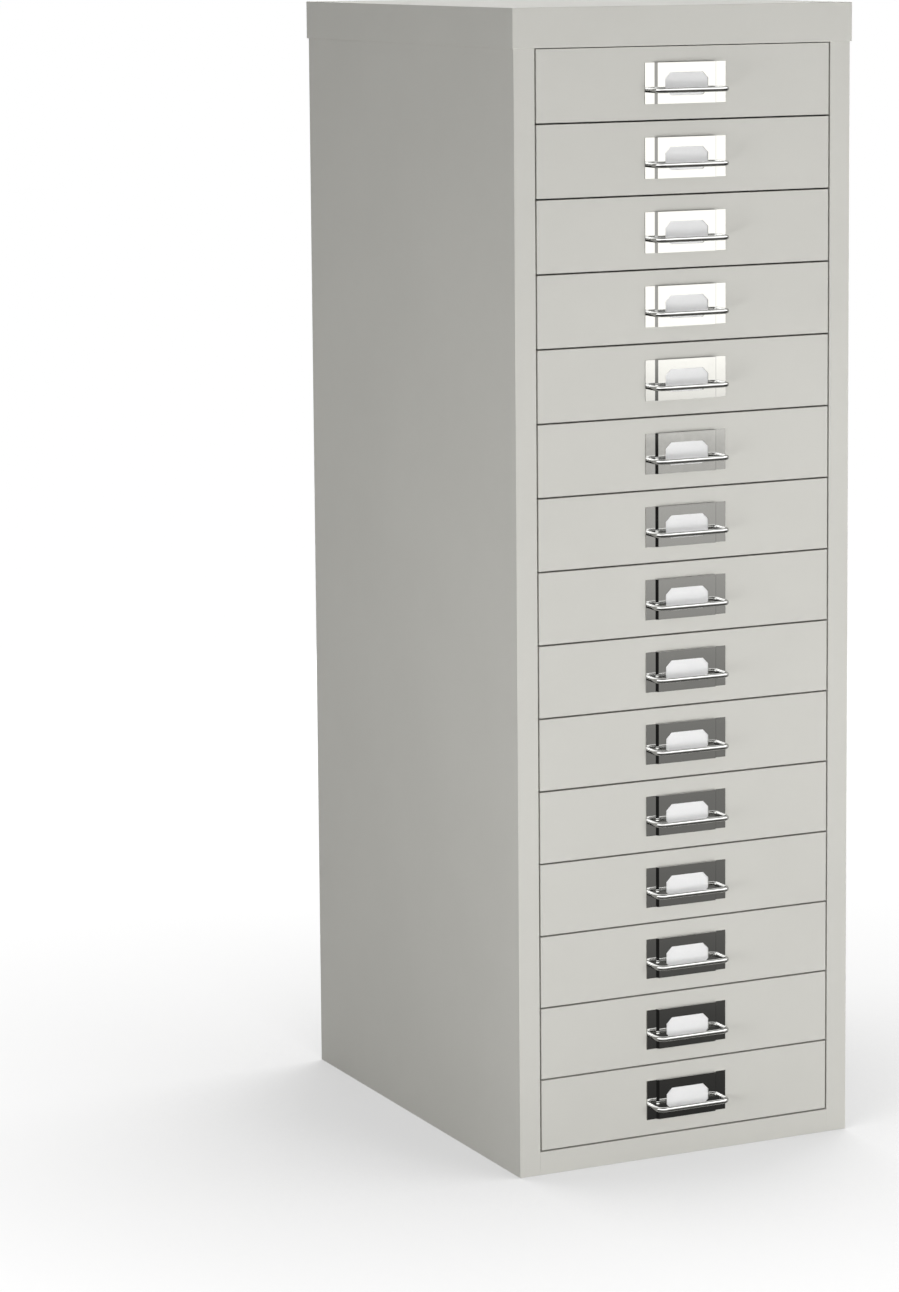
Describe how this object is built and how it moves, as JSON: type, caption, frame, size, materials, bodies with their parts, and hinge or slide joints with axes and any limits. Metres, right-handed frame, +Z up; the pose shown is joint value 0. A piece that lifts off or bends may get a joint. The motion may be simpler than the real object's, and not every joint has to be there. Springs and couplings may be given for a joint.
{
  "type": "small metal drawer cabinet",
  "caption": "Tall narrow steel cabinet with a skirted lid and a stack of shallow sliding drawers, each with a label holder and a wire pull.",
  "frame": {"origin": "on the floor under the middle of the whole cabinet, pulls included", "axes": "+X to the right of someone facing the drawers, drawer fronts at -Y, +Z up"},
  "size_m": [0.2814, 0.3796, 0.86],
  "materials": {
    "grey_enamel": "light grey powder coat, satin, with a very fine even texture",
    "runner_steel": "bare zinc-coated steel sheet",
    "bright_plate": "bright nickel-chrome plating, mirror smooth",
    "label_card": "plain white card, matt"
  },
  "bodies": {
    "carcass": {"left_side_panel": "grey_enamel", "right_side_panel": "grey_enamel", "back_panel": "grey_enamel", "base_panel": "grey_enamel", "head_panel": "grey_enamel", "top_lid": "grey_enamel", "left_runner_rack": "runner_steel", "right_runner_rack": "runner_steel"},
    "drawer_01": {"drawer_01": "grey_enamel", "drawer_01_pull": "bright_plate", "drawer_01_label": "label_card"},
    "drawer_02": {"drawer_02": "grey_enamel", "drawer_02_pull": "bright_plate", "drawer_02_label": "label_card"},
    "drawer_03": {"drawer_03": "grey_enamel", "drawer_03_pull": "bright_plate", "drawer_03_label": "label_card"},
    "drawer_04": {"drawer_04": "grey_enamel", "drawer_04_pull": "bright_plate", "drawer_04_label": "label_card"},
    "drawer_05": {"drawer_05": "grey_enamel", "drawer_05_pull": "bright_plate", "drawer_05_label": "label_card"},
    "drawer_06": {"drawer_06": "grey_enamel", "drawer_06_pull": "bright_plate", "drawer_06_label": "label_card"},
    "drawer_07": {"drawer_07": "grey_enamel", "drawer_07_pull": "bright_plate", "drawer_07_label": "label_card"},
    "drawer_08": {"drawer_08": "grey_enamel", "drawer_08_pull": "bright_plate", "drawer_08_label": "label_card"},
    "drawer_09": {"drawer_09": "grey_enamel", "drawer_09_pull": "bright_plate", "drawer_09_label": "label_card"},
    "drawer_10": {"drawer_10": "grey_enamel", "drawer_10_pull": "bright_plate", "drawer_10_label": "label_card"},
    "drawer_11": {"drawer_11": "grey_enamel", "drawer_11_pull": "bright_plate", "drawer_11_label": "label_card"},
    "drawer_12": {"drawer_12": "grey_enamel", "drawer_12_pull": "bright_plate", "drawer_12_label": "label_card"},
    "drawer_13": {"drawer_13": "grey_enamel", "drawer_13_pull": "bright_plate", "drawer_13_label": "label_card"},
    "drawer_14": {"drawer_14": "grey_enamel", "drawer_14_pull": "bright_plate", "drawer_14_label": "label_card"},
    "drawer_15": {"drawer_15": "grey_enamel", "drawer_15_pull": "bright_plate", "drawer_15_label": "label_card"}
  },
  "joints": [
    {"name": "drawer_01_slide", "type": "slide", "parent": "carcass", "child": "drawer_01", "axis": [0, -1, 0], "range_m": [0, 0.263]},
    {"name": "drawer_02_slide", "type": "slide", "parent": "carcass", "child": "drawer_02", "axis": [0, -1, 0], "range_m": [0, 0.263]},
    {"name": "drawer_03_slide", "type": "slide", "parent": "carcass", "child": "drawer_03", "axis": [0, -1, 0], "range_m": [0, 0.263]},
    {"name": "drawer_04_slide", "type": "slide", "parent": "carcass", "child": "drawer_04", "axis": [0, -1, 0], "range_m": [0, 0.263]},
    {"name": "drawer_05_slide", "type": "slide", "parent": "carcass", "child": "drawer_05", "axis": [0, -1, 0], "range_m": [0, 0.263]},
    {"name": "drawer_06_slide", "type": "slide", "parent": "carcass", "child": "drawer_06", "axis": [0, -1, 0], "range_m": [0, 0.263]},
    {"name": "drawer_07_slide", "type": "slide", "parent": "carcass", "child": "drawer_07", "axis": [0, -1, 0], "range_m": [0, 0.263]},
    {"name": "drawer_08_slide", "type": "slide", "parent": "carcass", "child": "drawer_08", "axis": [0, -1, 0], "range_m": [0, 0.263]},
    {"name": "drawer_09_slide", "type": "slide", "parent": "carcass", "child": "drawer_09", "axis": [0, -1, 0], "range_m": [0, 0.263]},
    {"name": "drawer_10_slide", "type": "slide", "parent": "carcass", "child": "drawer_10", "axis": [0, -1, 0], "range_m": [0, 0.263]},
    {"name": "drawer_11_slide", "type": "slide", "parent": "carcass", "child": "drawer_11", "axis": [0, -1, 0], "range_m": [0, 0.263]},
    {"name": "drawer_12_slide", "type": "slide", "parent": "carcass", "child": "drawer_12", "axis": [0, -1, 0], "range_m": [0, 0.263]},
    {"name": "drawer_13_slide", "type": "slide", "parent": "carcass", "child": "drawer_13", "axis": [0, -1, 0], "range_m": [0, 0.263]},
    {"name": "drawer_14_slide", "type": "slide", "parent": "carcass", "child": "drawer_14", "axis": [0, -1, 0], "range_m": [0, 0.263]},
    {"name": "drawer_15_slide", "type": "slide", "parent": "carcass", "child": "drawer_15", "axis": [0, -1, 0], "range_m": [0, 0.263]}
  ]
}
